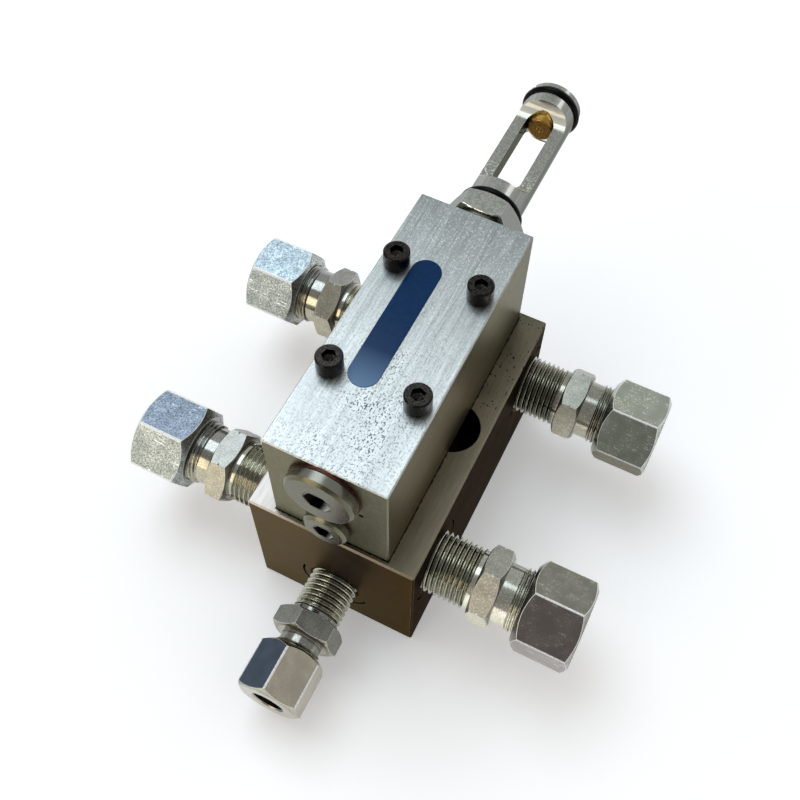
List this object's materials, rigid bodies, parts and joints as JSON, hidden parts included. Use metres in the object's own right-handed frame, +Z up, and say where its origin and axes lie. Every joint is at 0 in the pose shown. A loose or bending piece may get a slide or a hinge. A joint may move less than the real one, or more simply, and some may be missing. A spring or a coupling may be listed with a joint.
{
  "type": "dual-line lubrication distributor",
  "caption": "Dual-line grease distributor: metering block on a manifold base, supply fittings at both sides, an outlet fitting in front, screwed plugs and a slotted stroke indicator.",
  "frame": {"origin": "centre of the base's underside, the face it is mounted on", "axes": "+X across the block, along the supply lines; +Y from the plugged front with the outlet to the stroke indicator; +Z up from the base to the metering block"},
  "size_m": [0.1638, 0.2195, 0.1098],
  "materials": {
    "ground_steel": "ground and zinc plated, satin",
    "base_steel": "milled and zinc plated, satin",
    "hardened_steel": "hardened and ground, bright",
    "zinc_steel": "turned and zinc plated, bright",
    "turned_steel": "turned and milled, plated, satin",
    "copper": "soft copper, dull",
    "nitrile_rubber": "moulded, matt",
    "brass": "turned, tarnished",
    "label_film": "printed film, glossy",
    "black_oxide_steel": "black oxide, oiled",
    "fitting_steel": "turned hexagon bar, zinc plated",
    "nut_steel": "turned hexagon bar, zinc plated, satin"
  },
  "bodies": {
    "housing": {"metering_block": "ground_steel", "manifold_base": "base_steel", "end_plug": "zinc_steel", "end_plug_washer": "copper", "pilot_plug_front": "zinc_steel", "pilot_washer_front": "copper", "pilot_plug_rear": "zinc_steel", "pilot_washer_rear": "copper", "indicator_cage": "turned_steel", "gland_washer": "zinc_steel", "rod_seal": "nitrile_rubber", "cage_ring_near": "nitrile_rubber", "cage_ring_far": "nitrile_rubber", "name_label": "label_film", "cap_screw_fl": "black_oxide_steel", "cap_screw_fr": "black_oxide_steel", "cap_screw_bl": "black_oxide_steel", "cap_screw_br": "black_oxide_steel", "lock_washer_fl": "black_oxide_steel", "lock_washer_fr": "black_oxide_steel", "lock_washer_bl": "black_oxide_steel", "lock_washer_br": "black_oxide_steel", "seal_line_front": "nitrile_rubber", "seal_cross_front": "nitrile_rubber", "seal_outlet": "nitrile_rubber", "seal_cross_rear": "nitrile_rubber", "seal_line_rear": "nitrile_rubber", "stud_front_right": "fitting_steel", "stud_front_left": "fitting_steel", "stud_rear_right": "fitting_steel", "stud_rear_left": "fitting_steel", "nut_front_right": "nut_steel", "nut_front_left": "nut_steel", "nut_rear_right": "nut_steel", "nut_rear_left": "nut_steel", "ring_front_right": "hardened_steel", "ring_front_left": "hardened_steel", "ring_rear_right": "hardened_steel", "ring_rear_left": "hardened_steel", "stud_outlet": "fitting_steel", "nut_outlet": "nut_steel", "ring_outlet": "hardened_steel"},
    "metering": {"metering_piston": "hardened_steel", "indicator_rod": "hardened_steel"},
    "pilot": {"pilot_piston": "hardened_steel"},
    "stop": {"stop_screw": "brass"}
  },
  "joints": [
    {"name": "metering_travel", "type": "slide", "parent": "housing", "child": "metering", "axis": [0, 1, 0], "range_m": [0, 0.03]},
    {"name": "pilot_travel", "type": "slide", "parent": "housing", "child": "pilot", "axis": [0, 1, 0], "range_m": [0, 0.01]},
    {"name": "stop_adjust", "type": "slide", "parent": "housing", "child": "stop", "axis": [0, 1, 0], "range_m": [0, 0.004]}
  ]
}
